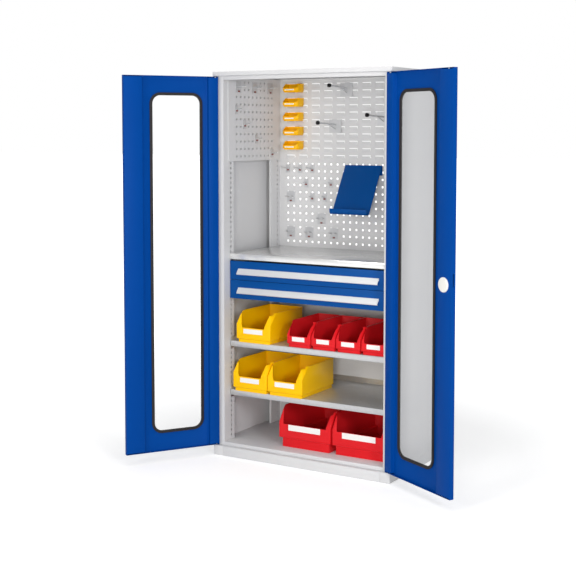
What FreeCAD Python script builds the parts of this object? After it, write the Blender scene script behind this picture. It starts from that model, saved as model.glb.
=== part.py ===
import FreeCAD, Part

import math
import os

from FreeCAD import Vector

# Steel tool cabinet with two glazed swing doors, louvred and perforated inner walls, a worktop,
# two telescopic drawers, two shelves and open-fronted storage bins.
# Millimetres, Z up, the front faces -Y. The origin is the centre of the footprint on the floor.
# The doors are drawn closed and then swung open to where they rest.

# Cabinet and sheet metal
width = 1000.0
depth = 600.0
height = 1950.0
sheet = 1.5
fit_gap = 0.3
overrun = 5.0

# Plinth, roof cap, header and floor
plinth_height = 50.0
plinth_top_return = 60.0
plinth_bottom_return = 30.0
plinth_cover_width = 890.0
plinth_cover_return = 15.0
plinth_rail_width = 60.0
cap_height = 20.0
cap_return = 32.0
header_height = 20.0
header_return = 18.0
floor_height = 66.0

# Corner posts folded from the side walls
post_width = 48.0
front_post_depth = 92.0
rear_post_depth = 122.0
post_lip = 12.0

# Back wall and panels
back_setback = 32.0
panel_return = 12.0
panel_split_drop = 450.0
panel_top_gap = 2.0
hole_pitch = 38.0
hole_size = 10.0
back_hole_drop = 22.0
back_hole_side_margin = 45.0
back_hole_foot_margin = 25.0
side_panel_setback = 38.0
side_panel_rear_gap = 2.0
side_panel_return = 4.0
side_hole_setback = 74.0
side_hole_rear_margin = 60.0
side_hole_drop = 46.0
side_hole_foot_margin = 15.0

# Louvres for hanging bins and holders
louvre_pitch = 76.0
louvre_row_pitch = 38.0
louvre_drop = 47.0
louvre_side_margin = 40.0
louvre_foot_margin = 3.0
louvre_width = 50.0
louvre_height = 18.0
louvre_reach = 6.0
louvre_slit = 4.0

# Worktop and shelves
shelf_front_setback = 78.0
shelf_lip = 28.0
shelf_side_gap = 4.0
shelf_upstand = 28.0
shelf_side_upstand = 19.0
worktop_drop = 919.0
worktop_side_gap = 2.0
upper_shelf_share = 0.7011
lower_shelf_share = 0.3573
clip_width = 20.0
clip_height = 26.0
clip_reach = 16.0
clip_sheet = 1.5
clip_front_inset = 10.0
clip_rear_inset = 52.0

# Doors
door_depth = 22.0
door_sheet = 1.2
door_frame_gap = 4.0
door_side_gap = 3.0
door_meeting_gap = 3.0
door_end_gap = 4.0
pivot_inset = 12.0
pivot_setback = 8.0
pivot_radius = 4.0
pivot_length = 18.0
pivot_collar_size = 16.0
pivot_clearance = 0.05
left_door_rest_angle = 123.0
right_door_rest_angle = 151.0
free_stiffener_width = 94.0
hinge_stiffener_width = 50.0
stiffener_foot = 10.0
stiffener_end_gap = 6.0
window_free_margin = 146.0
window_hinge_margin = 86.0
window_bottom_margin = 93.0
window_top_margin = 87.0
window_radius = 50.0
seal_web = 4.0
seal_lip = 5.0
seal_thickness = 8.0
seal_proud = 2.0
pane_thickness = 3.0

# Rotary lock with its two rods
lock_inset = 53.5
lock_height = 991.0
lock_case_width = 54.0
lock_case_height = 120.0
lock_case_wall = 1.5
crank_radius = 12.73
crank_rest_angle = 45.0
crank_end = 4.3
crank_half_width = 6.0
crank_thickness = 3.0
crank_pin_radius = 2.0
crank_pin_length = 4.0
crank_pin_gap = 0.6
spindle_size = 8.0
spindle_hole_size = 14.0
rod_radius = 4.0
rod_offset = 11.0
rod_clearance = 0.6
rod_head_width = 15.0
rod_head_thickness = 2.0
rod_head_overlap = 10.0
rod_start = 24.0
knob_radius = 29.0
knob_base_height = 10.0
knob_height = 34.0
knob_wing = 17.0
knob_edge = 3.0
lock_cover_radius = 33.0
lock_cover_height = 8.0
lock_cover_edge = 2.5
edge_slot_height = 57.0
edge_slot_width = 5.0
edge_slot_rise = 23.0

# Drawers on telescopic slides
drawer_front_side_gap = 2.0
drawer_front_height = 95.0
drawer_front_depth = 20.0
drawer_front_gap = 2.0
drawer_top_gap = 9.0
drawer_box_height = 72.0
drawer_box_drop = 12.0
drawer_box_rear_gap = 4.0
drawer_sheet = 1.2
slide_rear_gap = 19.7
slide_height = 46.0
slide_depth = 11.0
slide_space = 14.0
slide_drop = 59.0
grip_side_inset = 50.0
grip_height = 26.0
grip_reach = 20.0
grip_sheet = 2.0
grip_lip = 5.0
grip_drop = 37.0

# Open-fronted storage bins
bin_wall = 2.5
bin_rim = 2.0
bin_rim_height = 7.0
bin_shoulder = 5.0
bin_label_proud = 1.5
bin_mouth_share = 0.25
large_bin_width = 206.0
large_bin_length = 320.0
large_bin_height_share = 0.7046
medium_bin_length = 320.0
medium_bin_height_share = 0.5727
wide_bin_width = 300.0
wide_bin_height_share = 0.851
hung_bin_width = 99.0
hung_bin_length = 70.0
hung_bin_height = 46.0
hung_bin_hook = 6.0
hung_bin_hook_sheet = 2.0
hung_bin_shift = 34.0
hung_bin_count = 5
hung_bin_row_step = 2

# Bins: front edge, cheek, base and label heights as shares of the height, the cheek's run as a
# share of the length, and notch, base inset and label width as shares of the width
large_bin_shares = {"edge": 0.497, "cheek": 0.903, "base": 0.103, "label_rise": 0.297, "label_height": 0.174,
                    "run": 0.141, "notch": 0.68, "inset": 0.039, "label_width": 0.563}
medium_bin_shares = {"edge": 0.444, "cheek": 0.5, "base": 0.111, "label_rise": 0.23, "label_height": 0.198,
                     "run": 0.094, "notch": 0.818, "inset": 0.044, "label_width": 0.54}
wide_bin_shares = {"edge": 0.59, "cheek": 0.62, "base": 0.22, "label_rise": 0.435, "label_height": 0.16,
                   "run": 0.118, "notch": 0.893, "inset": 0.043, "label_width": 0.62}
hung_bin_shares = {"edge": 0.522, "cheek": 0.609, "base": 0.109, "label_rise": 0.261, "label_height": 0.196,
                   "run": 0.2, "notch": 0.848, "inset": 0.05, "label_width": 0.677}

# Where the loose bins stand between the posts
upper_large_bin_gap = 49.0
lower_large_bin_gap = 28.0
large_bin_count = 2
large_bin_spacing = 1.0
large_bin_overhang = 18.0
medium_bin_count = 4
medium_bin_spacing = 1.8
medium_bin_row_gap = 83.9
medium_bin_side_gap = 11.7
wide_bin_count = 2
wide_bin_spacing = 6.0
wide_bin_side_gap = 16.0
wide_bin_setback = 17.0
wide_bin_rear_gap = 5.0

# Holders with round arms, hung on the louvres
holder_width = 72.0
holder_height = 70.0
holder_sheet = 2.0
holder_hook = 8.0
arm_radius = 4.0
arm_reach = 185.0
arm_rise = 8.0
brace_radius = 2.5
brace_reach = 78.0
brace_drop = 24.0
ball_radius = 10.0
ball_flat_share = 0.41
holder_place_shares = (-0.507, -1.382, 2.355)
holder_rows = (0, 5, 4)
bar_sides = 6

# Document stand hung on the perforated wall
stand_shift = 355.0
stand_width = 215.0
stand_drop = 24.0
stand_rear_drop = 52.0
stand_head = 8.0
stand_slope_run = 141.2
stand_slope_drop = 239.6
stand_trough_radius = 15.0
stand_trough_sides = 8
stand_lip_rise = 13.0
stand_sheet = 2.0

# Tool hooks clipped to the perforated walls
hook_sheet = 1.5
hook_width = 26.0
hook_top = 35.0
hook_bottom = 11.0
wide_hook_width = 49.0
wide_hook_top = 42.0
wide_hook_bottom = 16.0
prong_radius = 2.5
short_prong = 34.0
long_prong = 75.0
prong_rise = 13.0
prong_tilt = 8.0
prong_spread = 15.0
hook_clip_width = 10.0
hook_clip_depth = 5.0
hook_clip_height = 7.0
hook_clip_rise = 5.0
wide_hook_clip_rise = -9.0
facing_turn = 90.0

# Hooks by the column of their hole, from the left or the front, and their row as a share of the rows
back_long_hook_shares = ((0, 0.09), (2, 0.09), (4, 0.09))
back_short_hook_shares = ((3, 0.27), (7, 0.27), (4, 0.45), (6, 0.45))
back_wide_hook_shares = ((0, 0.45), (5, 0.73), (0, 0.91), (3, 0.91), (7, 0.91))
side_short_hook_shares = ((0, 0.4), (0.22, 0.6), (0.56, 0.8), (1, 1))
side_wide_hook_shares = ((0, 0.1), (0.44, 0.1), (0.89, 0.1))

# Planes that several pieces share
half_width = width / 2
front_face = -depth / 2
rear_face = depth / 2
frame_front = front_face + door_depth + door_frame_gap
post_face = half_width - post_width
front_post_rear = frame_front + front_post_depth
rear_post_front = rear_face - rear_post_depth
back_face = rear_face - back_setback
roof_underside = height - cap_height
opening_top = roof_underside - header_height
panel_top = roof_underside - panel_top_gap
shelf_front = front_face + shelf_front_setback
panel_half = post_face - fit_gap
panel_split = height - panel_split_drop
worktop_height = height - worktop_drop
worktop_underside = worktop_height - shelf_lip
drawer_top = worktop_underside - drawer_top_gap
drawer_base = drawer_top - drawer_front_height * 2 - drawer_front_gap
shelf_room = drawer_base - floor_height
upper_shelf_height = floor_height + shelf_room * upper_shelf_share
lower_shelf_height = floor_height + shelf_room * lower_shelf_share
door_bottom = plinth_height + door_end_gap
door_top = roof_underside - door_end_gap
door_back = front_face + door_depth
pivot_x = half_width - pivot_inset
pivot_y = front_face + pivot_setback
lock_x = door_meeting_gap / 2 + lock_inset
lock_case_front = front_face + door_sheet + fit_gap
lock_case_rear = door_back - door_sheet - fit_gap
crank_front = lock_case_front + lock_case_wall + spindle_size / 2
crank_rear = crank_front + crank_thickness
rod_y = crank_rear + crank_pin_length / 2
crank_throw = crank_radius * math.cos(math.radians(crank_rest_angle))
slide_front = shelf_front + drawer_front_depth + fit_gap
slide_length = back_face - slide_rear_gap - slide_front

# Hole and louvre patterns, as many as their panels hold
back_hole_top = panel_split - back_hole_drop
back_hole_columns = int((panel_half - back_hole_side_margin) * 2 / hole_pitch) + 1
back_hole_rows = int((back_hole_top - worktop_height - back_hole_foot_margin) / hole_pitch) + 1
back_hole_first = -hole_pitch * (back_hole_columns - 1) / 2
side_panel_front = frame_front + side_panel_setback
side_panel_rear = back_face - side_panel_rear_gap
side_hole_first = side_panel_front + side_hole_setback
side_hole_columns = int((side_panel_rear - side_hole_first - side_hole_rear_margin) / hole_pitch) + 1
side_hole_top = height - side_hole_drop
side_hole_rows = int((side_hole_top - panel_split - side_hole_foot_margin) / hole_pitch) + 1
louvre_top = height - louvre_drop
louvre_columns = int(((panel_half - louvre_side_margin) * 2 - louvre_width) / louvre_pitch) + 1
louvre_rows = int((louvre_top - louvre_height - panel_split - louvre_foot_margin) / louvre_row_pitch) + 1
louvre_first = -louvre_pitch * (louvre_columns - 1) / 2

# Bins as high as their shelves allow, the medium row filling its shelf beside the large bin
large_bin_height = (drawer_base - upper_shelf_height) * large_bin_height_share
medium_bin_height = (drawer_base - upper_shelf_height) * medium_bin_height_share
wide_bin_height = (lower_shelf_height - shelf_lip - floor_height) * wide_bin_height_share
medium_row_start = upper_large_bin_gap - post_face + large_bin_width + medium_bin_row_gap
medium_row_end = post_face - medium_bin_side_gap
medium_bin_pitch = (medium_row_end - medium_row_start + medium_bin_spacing) / medium_bin_count
medium_bin_width = medium_bin_pitch - medium_bin_spacing
wide_bin_front = shelf_front + wide_bin_setback
wide_bin_length = back_face - wide_bin_rear_gap - wide_bin_front


def block(x0, x1, y0, y1, z0, z1):
    """A box between two corners."""
    return Part.makeBox(x1 - x0, y1 - y0, z1 - z0, Vector(x0, y0, z0))


def prism(outline, along, start, end):
    """A closed outline drawn in the two other coordinates and extruded along one axis."""
    if along == "x":
        corners = [Vector(start, a, b) for a, b in outline]
        run = Vector(end - start, 0, 0)
    elif along == "y":
        corners = [Vector(a, start, b) for a, b in outline]
        run = Vector(0, end - start, 0)
    else:
        corners = [Vector(a, b, start) for a, b in outline]
        run = Vector(0, 0, end - start)
    return Part.Face(Part.makePolygon(corners + corners[:1])).extrude(run)


def folded(path, thickness):
    """The closed outline of a bent sheet: its path and the same path moved to its right."""
    normals = []
    for (a0, b0), (a1, b1) in zip(path, path[1:]):
        run = math.hypot(a1 - a0, b1 - b0)
        normals.append(((b1 - b0) / run, (a0 - a1) / run))
    moved = []
    for i, (a, b) in enumerate(path):
        m0 = normals[max(i - 1, 0)]
        m1 = normals[min(i, len(normals) - 1)]
        scale = thickness / (1 + m0[0] * m1[0] + m0[1] * m1[1])
        moved.append((a + (m0[0] + m1[0]) * scale, b + (m0[1] + m1[1]) * scale))
    return list(path) + moved[::-1]


def rod(start, end, radius):
    """A round bar between two points."""
    run = end - start
    return Part.makeCylinder(radius, run.Length, start, run)


def slim_bar(start, end, radius):
    """A thin bar between two points, drawn with few sides."""
    run = end - start
    ring = Part.Circle(start, run, radius)
    corners = [ring.value(math.tau * side / bar_sides) for side in range(bar_sides)]
    return Part.Face(Part.makePolygon(corners + corners[:1])).extrude(run)


def holed_sheet(x0, x1, z0, z1, y0, y1, holes):
    """An upright sheet with a pattern of rectangular holes, each given by its corners."""
    def frame(a0, a1, b0, b1):
        corners = [Vector(a0, y0, b0), Vector(a1, y0, b0), Vector(a1, y0, b1), Vector(a0, y0, b1)]
        return Part.makePolygon(corners + corners[:1])
    wires = [frame(x0, x1, z0, z1)] + [frame(*hole) for hole in holes]
    return Part.makeFace(wires, "Part::FaceMakerBullseye").extrude(Vector(0, y1 - y0, 0))


def mirrored(shape):
    """The same piece on the other side of the cabinet."""
    return shape.mirror(Vector(0, 0, 0), Vector(1, 0, 0))


def pair(shape):
    """A piece and its twin on the other side."""
    return [shape, mirrored(shape)]


def save(name, *solids):
    """Write one named piece, or a group of like pieces."""
    shape = solids[0] if len(solids) == 1 else Part.makeCompound(list(solids))
    shape.exportStep(os.path.join("parts", name + ".step"))


def side_wall():
    """Left wall: the outer skin with a post folded at the front and at the rear."""
    path = [(-post_face - post_lip, front_post_rear),
            (-post_face, front_post_rear),
            (-post_face, frame_front),
            (-half_width, frame_front),
            (-half_width, rear_face),
            (-post_face, rear_face),
            (-post_face, rear_post_front),
            (-post_face - post_lip, rear_post_front)]
    return prism(folded(path, sheet), "z", plinth_height, roof_underside)


def roof_cap():
    """Folded roof with its rim turned in below, holed for the upper lock rod."""
    shell = block(-half_width, half_width, front_face, rear_face, roof_underside, height)
    inner = half_width - sheet
    shell = shell.cut(block(-inner, inner, front_face + sheet, rear_face - sheet,
                            roof_underside + sheet, height - sheet))
    mouth = half_width - cap_return
    shell = shell.cut(block(-mouth, mouth, front_face + cap_return, rear_face - cap_return,
                            roof_underside - overrun, roof_underside + overrun))
    socket = rod(Vector(lock_x - rod_offset, rod_y, roof_underside - overrun),
                 Vector(lock_x - rod_offset, rod_y, roof_underside + overrun), rod_radius + rod_clearance)
    return shell.cut(socket)


def front_header():
    """Rail under the roof between the front posts."""
    path = [(frame_front + header_return, opening_top), (frame_front, opening_top),
            (frame_front, roof_underside)]
    return prism(folded(path, sheet), "x", -panel_half, panel_half)


def plinth_frame():
    """Folded base frame with a centre rail, open at the front for the loose cover."""
    inner = half_width - sheet
    frame = block(-half_width, half_width, front_face, rear_face, 0, plinth_height)
    frame = frame.cut(block(-inner, inner, front_face + sheet, rear_face - sheet, sheet, plinth_height - sheet))
    for level, edge in ((0, plinth_bottom_return), (plinth_height, plinth_top_return)):
        mouth = half_width - edge
        frame = frame.cut(block(-mouth, mouth, front_face + edge, rear_face - edge,
                                level - overrun, level + overrun))
    gate = plinth_cover_width / 2
    frame = frame.cut(block(-gate, gate, front_face - overrun, front_face + plinth_bottom_return + overrun,
                            -overrun, plinth_height - sheet))
    half_rail = plinth_rail_width / 2
    path = [(half_rail, plinth_height), (-half_rail, plinth_height), (-half_rail, 0), (half_rail, 0)]
    path.reverse()
    rail = prism(folded(path, sheet), "x", -inner, inner)
    socket = rod(Vector(lock_x + rod_offset, rod_y, plinth_height - overrun),
                 Vector(lock_x + rod_offset, rod_y, plinth_height + overrun), rod_radius + rod_clearance)
    return frame.fuse(rail).cut(socket)


def plinth_cover():
    """Loose front cover with turned-in edges, between the ends of the base frame."""
    half = plinth_cover_width / 2 - fit_gap
    top = plinth_height - sheet - fit_gap
    path = [(front_face + plinth_cover_return, top), (front_face, top), (front_face, 0),
            (front_face + plinth_cover_return, 0)]
    cover = prism(folded(path[::-1], sheet), "x", -half, half)
    socket = rod(Vector(lock_x + rod_offset, rod_y, plinth_height / 2),
                 Vector(lock_x + rod_offset, rod_y, plinth_height), rod_radius + rod_clearance)
    return cover.cut(socket)


def floor_pan():
    """Cabinet floor, notched round the posts, with its edges turned down onto the plinth."""
    side = half_width - sheet - fit_gap
    neck = post_face - fit_gap
    rear = back_face + sheet
    under = floor_height - sheet
    front_notch = front_post_rear + fit_gap
    rear_notch = rear_post_front - fit_gap
    outline = [(-neck, frame_front), (neck, frame_front), (neck, front_notch), (side, front_notch),
               (side, rear_notch), (neck, rear_notch), (neck, rear), (-neck, rear), (-neck, rear_notch),
               (-side, rear_notch), (-side, front_notch), (-neck, front_notch)]
    pan = prism(outline, "z", under, floor_height)
    lips = [block(-neck, neck, frame_front, frame_front + sheet, plinth_height, under),
            block(-neck, neck, rear - sheet, rear, plinth_height, under)]
    lips += pair(block(side - sheet, side, front_notch, rear_notch, plinth_height, under))
    return pan.fuse(lips).removeSplitter()


def back_wall_lower():
    """Plain lower back wall between the rear posts."""
    edge = back_face + panel_return
    path = [(-panel_half, edge), (-panel_half, back_face), (panel_half, back_face), (panel_half, edge)]
    return prism(folded(path[::-1], sheet), "z", floor_height, worktop_underside)


def panel_edges(z0, z1):
    """The returns down both sides of a back panel."""
    return pair(block(panel_half - sheet, panel_half, back_face + sheet, back_face + panel_return, z0, z1))


def perforated_back_panel():
    """Back panel with square holes for hooks."""
    r = hole_size / 2
    holes = []
    for column in range(back_hole_columns):
        for row in range(back_hole_rows):
            x = back_hole_first + column * hole_pitch
            z = back_hole_top - row * hole_pitch
            holes.append((x - r, x + r, z - r, z + r))
    wall = holed_sheet(-panel_half, panel_half, worktop_underside, panel_split,
                       back_face, back_face + sheet, holes)
    return wall.fuse(panel_edges(worktop_underside, panel_split))


def louvre_panel():
    """Upper back panel, its louvres pressed forward out of it and open at the top."""
    w = louvre_width / 2
    holes = []
    tongues = []
    for row in range(louvre_rows):
        top = louvre_top - row * louvre_row_pitch
        foot = top - louvre_height
        section = [(back_face, foot), (back_face + sheet, foot), (back_face - louvre_reach + sheet, top),
                   (back_face - louvre_reach, top)]
        for column in range(louvre_columns):
            x = louvre_first + column * louvre_pitch
            holes.append((x - w, x + w, foot, top + louvre_slit))
            tongues.append(prism(section, "x", x - w, x + w))
    wall = holed_sheet(-panel_half, panel_half, panel_split, panel_top, back_face, back_face + sheet, holes)
    return wall.fuse(tongues + panel_edges(panel_split, panel_top))


def side_panel():
    """Left panel for hooks in front of the wall, its edges turned back onto the posts."""
    face = post_face - side_panel_return
    path = [(-panel_half, side_panel_front), (-face, side_panel_front), (-face, side_panel_rear),
            (-panel_half, side_panel_rear)]
    return prism(folded(path[::-1], sheet), "z", panel_split, panel_top)


def shelf(top, side_gap, upstand, side_upstand):
    """Folded shelf with its lips turned down, and turned up at the sides and the rear where asked."""
    half = post_face - side_gap
    rear = back_face - fit_gap
    low = top - shelf_lip
    tray = block(-half, half, shelf_front, rear, low, top)
    tray = tray.cut(block(-half + sheet, half - sheet, shelf_front + sheet, rear - sheet,
                          low - overrun, top - sheet))
    if upstand:
        edge = block(half - sheet, half, shelf_front, rear, top, top + side_upstand)
        tray = tray.fuse([block(-half, half, rear - sheet, rear, top, top + upstand)] + pair(edge))
    return tray


def shelf_clips(top):
    """The four brackets that carry a shelf on the posts."""
    seat = top - shelf_lip - fit_gap
    wall = post_face - fit_gap
    clips = []
    for y in (shelf_front + clip_front_inset, back_face - clip_rear_inset):
        upright = block(wall - clip_sheet, wall, y, y + clip_width,
                        seat - clip_height / 2, seat + clip_height / 2)
        tongue = block(wall - clip_reach, wall - clip_sheet, y, y + clip_width, seat - clip_sheet, seat)
        clips += pair(upright.fuse(tongue))
    return clips


def hinge_pins():
    """Collared pins on which both doors turn, under the roof and on the plinth."""
    pins = []
    r = pivot_collar_size / 2
    for seat, way in ((roof_underside, -1), (plinth_height, 1)):
        base = Vector(pivot_x, pivot_y, seat)
        shoulder = seat + way * (door_end_gap - fit_gap)
        tip = Vector(pivot_x, pivot_y, seat + way * (door_end_gap + pivot_length))
        collar = block(pivot_x - r, pivot_x + r, pivot_y - r, pivot_y + r,
                       min(seat, shoulder), max(seat, shoulder))
        pins += pair(collar.fuse(rod(base, tip, pivot_radius)))
    return pins


def window_slab(inset, y0, y1):
    """A closed door's rounded window, moved inwards by an inset, as a slab between two depths."""
    slab = block(window_free_margin + inset, half_width - window_hinge_margin - inset, y0, y1,
                 door_bottom + window_bottom_margin + inset, door_top - window_top_margin - inset)
    corners = [edge for edge in slab.Edges if edge.BoundBox.YLength > (y1 - y0) / 2
               and edge.BoundBox.ZLength < (y1 - y0) / 2 and edge.BoundBox.XLength < (y1 - y0) / 2]
    return slab.makeFillet(window_radius - inset, corners)


def spindle_hole(y0, y1):
    """Room for the turning spindle between two depths."""
    r = spindle_hole_size / 2
    return block(lock_x - r, lock_x + r, y0, y1, lock_height - r, lock_height + r)


def rod_passages():
    """Square passages for both lock rods through the leaf's edges and the lock's housing."""
    r = rod_radius + rod_clearance
    upper_x = lock_x - rod_offset
    lower_x = lock_x + rod_offset
    return [block(upper_x - r, upper_x + r, rod_y - r, rod_y + r, lock_height, height),
            block(lower_x - r, lower_x + r, rod_y - r, rod_y + r, 0, lock_height)]


def door_skin(locked):
    """Closed right leaf: a pan of sheet with its edges turned back and a rounded window."""
    x0 = door_meeting_gap / 2
    x1 = half_width - door_side_gap
    pan = block(x0, x1, front_face, door_back, door_bottom, door_top)
    pan = pan.cut(block(x0 + door_sheet, x1 - door_sheet, front_face + door_sheet, door_back + overrun,
                        door_bottom + door_sheet, door_top - door_sheet))
    pan = pan.cut(window_slab(0, front_face - overrun, front_face + overrun))
    pan = pan.cut(rod(Vector(pivot_x, pivot_y, 0), Vector(pivot_x, pivot_y, height),
                      pivot_radius + pivot_clearance))
    if not locked:
        return pan
    pan = pan.cut(spindle_hole(front_face - overrun, front_face + overrun))
    slot_base = lock_height + edge_slot_rise
    pan = pan.cut(block(x0 - overrun, x0 + overrun, rod_y - edge_slot_width / 2, rod_y + edge_slot_width / 2,
                        slot_base - edge_slot_height / 2, slot_base + edge_slot_height / 2))
    return pan.cut(rod_passages())


def door_stiffeners():
    """Closed right leaf: the channels welded inside along the free edge and the hinge edge."""
    back = door_back
    bed = front_face + door_sheet
    free_start = door_meeting_gap / 2 + door_sheet + fit_gap
    free_end = free_start + free_stiffener_width
    free_path = [(free_start, back), (free_end, back), (free_end, bed), (free_end + stiffener_foot, bed)]
    hinge_start = half_width - door_side_gap - door_sheet - fit_gap
    hinge_end = hinge_start - hinge_stiffener_width
    hinge_path = [(hinge_start, back), (hinge_end, back), (hinge_end, bed), (hinge_end - stiffener_foot, bed)]
    z0 = door_bottom + stiffener_end_gap
    z1 = door_top - stiffener_end_gap
    free = prism(channel_outline(free_path, -1), "z", z0, z1)
    hinge = prism(channel_outline(hinge_path, 1), "z", z0, z1)
    return [free, hinge]


def channel_outline(path, side):
    """A door channel's section, its web flush with the leaf's edges and its foot on the sheet."""
    (a0, b0), (a1, b1), (a2, b2), (a3, b3) = path
    t = door_sheet
    step = side * t
    return [(a0, b0), (a1, b1), (a2, b2 + t), (a3, b3 + t),
            (a3, b3), (a2 + step, b2), (a1 + step, b1 - t), (a0, b0 - t)]


def door_pane():
    """Clear pane standing in the seal."""
    y0 = front_face + door_sheet / 2
    return window_slab(seal_web, y0, y0 + pane_thickness)


def door_seal(skin, pane):
    """Rubber profile gripping the sheet on one side and the pane on the other."""
    y0 = front_face - seal_proud
    ring = window_slab(-seal_lip, y0, y0 + seal_thickness).cut(
        window_slab(seal_web + seal_lip, y0 - overrun, y0 + seal_thickness + overrun))
    return ring.cut(skin).cut(pane)


def lock_case():
    """Housing of the lock inside the free channel."""
    w = lock_case_width / 2
    h = lock_case_height / 2
    t = lock_case_wall
    case = block(lock_x - w, lock_x + w, lock_case_front, lock_case_rear, lock_height - h, lock_height + h)
    case = case.cut(block(lock_x - w + t, lock_x + w - t, lock_case_front + t, lock_case_rear - t,
                          lock_height - h + t, lock_height + h - t))
    case = case.cut(spindle_hole(lock_case_front - overrun, lock_case_front + t + fit_gap))
    return case.cut(rod_passages())


def lock_cover():
    """Round cap over the lock on the inner side of the leaf."""
    cap = rod(Vector(lock_x, door_back, lock_height),
              Vector(lock_x, door_back + lock_cover_height, lock_height), lock_cover_radius)
    rim = [edge for edge in cap.Edges if edge.BoundBox.YMin > door_back + lock_cover_height / 2
           and edge.BoundBox.YLength < lock_cover_height / 2]
    return cap.makeChamfer(lock_cover_edge, rim)


def lock_knob():
    """Turning grip outside the leaf, with the square spindle that reaches the crank."""
    seat = front_face - fit_gap
    base = rod(Vector(lock_x, seat, lock_height),
               Vector(lock_x, seat - knob_base_height, lock_height), knob_radius)
    wing = block(lock_x - knob_wing / 2, lock_x + knob_wing / 2, seat - knob_height, seat,
                 lock_height - knob_radius, lock_height + knob_radius)
    round_off = rod(Vector(lock_x, seat, lock_height), Vector(lock_x, seat - knob_height, lock_height),
                    knob_radius - knob_edge)
    knob = base.fuse(wing.common(round_off))
    s = spindle_size / 2
    spindle = block(lock_x - s, lock_x + s, seat, crank_front, lock_height - s, lock_height + s)
    return knob.fuse(spindle)


def lock_cam():
    """Two-armed crank with the pins that drive the rods."""
    centre = Vector(lock_x, crank_front, lock_height)
    reach = crank_radius + crank_end
    arm = Part.makeBox(reach * 2, crank_thickness, crank_half_width * 2,
                       centre - Vector(reach, 0, crank_half_width))
    arm = arm.rotated(centre, Vector(0, 1, 0), -crank_rest_angle)
    pins = []
    for way in (-1, 1):
        foot = centre + Vector(way * crank_throw, 0, way * crank_throw)
        pins.append(slim_bar(foot, foot + Vector(0, crank_thickness + crank_pin_length, 0), crank_pin_radius))
    return arm.fuse(pins)


def lock_rod(way):
    """A sliding rod with the slotted head that the crank pin drives, upwards or downwards."""
    x = lock_x - way * rod_offset
    pin_z = lock_height - way * crank_throw
    start = lock_height + way * rod_start
    tip = door_top if way > 0 else door_bottom
    bar = rod(Vector(x, rod_y, start), Vector(x, rod_y, tip - way * fit_gap), rod_radius)
    t = rod_head_thickness / 2
    w = rod_head_width / 2
    foot = pin_z - way * (crank_pin_radius + crank_pin_gap + rod_head_thickness)
    reach = start + way * rod_head_overlap
    head = block(x - w, x + w, rod_y - t, rod_y + t, min(foot, reach), max(foot, reach))
    middle = lock_x - way * (crank_throw + crank_radius) / 2
    half_slot = (crank_radius - crank_throw) / 2 + crank_pin_radius + crank_pin_gap
    half_gap = crank_pin_radius + crank_pin_gap
    slot = block(middle - half_slot, middle + half_slot, rod_y - rod_radius, rod_y + rod_radius,
                 pin_z - half_gap, pin_z + half_gap)
    return bar.fuse(head.cut(slot))


def swung(shapes, way, angle):
    """Shapes of a closed leaf turned about its pivot to where the door rests."""
    return [shape.rotated(Vector(way * pivot_x, pivot_y, 0), Vector(0, 0, 1), angle) for shape in shapes]


def slide_section(half_height, near, far):
    """Section of one slide rail, in X and Z about the rail's middle: a web and two flanges."""
    t = drawer_sheet
    way = 1 if far > near else -1
    web = near + way * t
    return [(near, -half_height), (far, -half_height), (far, -half_height + t), (web, -half_height + t),
            (web, half_height - t), (far, half_height - t), (far, half_height), (near, half_height)]


def rail(half_height, near, far, middle, front, rear):
    """One slide rail at a height, from its front to its rear end."""
    outline = [(x, z + middle) for x, z in slide_section(half_height, near, far)]
    return prism(outline, "y", front, rear)


def slide_rails(top):
    """The fixed rail, the middle rail and the drawer's own runner, on the right-hand side."""
    middle = top - slide_drop
    rear = slide_front + slide_length
    step = drawer_sheet + fit_gap
    half = slide_height / 2
    inner = post_face - slide_space
    fixed = rail(half, panel_half, panel_half - slide_depth, middle, slide_front, rear)
    sliding = rail(half - step, panel_half - step, panel_half - slide_depth, middle, slide_front, rear)
    runner = rail(half - step * 2, inner, panel_half - step * 2, middle, slide_front, rear)
    return fixed, sliding, runner


def drawer_box(top, runner):
    """Open tray with a runner on each side."""
    half = post_face - slide_space
    z1 = top - drawer_box_drop
    z0 = z1 - drawer_box_height
    y0 = shelf_front + drawer_front_depth
    y1 = slide_front + slide_length - drawer_box_rear_gap
    t = drawer_sheet
    tray = block(-half, half, y0, y1, z0, z1)
    tray = tray.cut(block(-half + t, half - t, y0 + t, y1 - t, z0 + t, z1 + overrun))
    return tray.fuse(pair(runner))


def drawer_front(top):
    """Folded front plate with its edges turned back."""
    half = post_face - drawer_front_side_gap
    low = top - drawer_front_height
    rear = shelf_front + drawer_front_depth
    t = drawer_sheet
    plate = block(-half, half, shelf_front, rear, low, top)
    return plate.cut(block(-half + t, half - t, shelf_front + t, rear + overrun, low + t, top - t))


def drawer_grip(top):
    """Sloping grip rail across the front, open below for the fingers."""
    z1 = top - grip_drop
    edge = shelf_front - grip_reach
    half = post_face - drawer_front_side_gap - grip_side_inset
    path = [(edge + grip_lip, z1 - grip_height - grip_lip), (edge, z1 - grip_height), (shelf_front, z1),
            (shelf_front, z1 - grip_height / 2)]
    return prism(folded(path, grip_sheet), "x", -half, half)


def bin_outlines(w, length, h, cheek, run, inset, base, wall, lift):
    """Side view and front view of a bin's outside, or of its hollow when a wall is given."""
    low = base + bin_shoulder
    side = [(inset + wall, wall), (inset + wall, base), (wall, low), (wall, cheek), (run + wall, h),
            (length - wall, h), (length - wall, wall)]
    rim = h - bin_rim_height
    half = w / 2 - wall
    waist = half - bin_rim
    view = [(half - inset, wall), (half - inset, base), (waist, low), (waist, rim), (half, rim), (half, h)]
    if lift:
        side = [(inset + wall, wall), (inset + wall, base), (wall, low), (wall, h + lift),
                (length - wall, h + lift), (length - wall, wall)]
        view = [(half - inset, wall), (half - inset, base), (waist, low), (waist, h + lift)]
    return side, view + [(-x, z) for x, z in reversed(view)]


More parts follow.
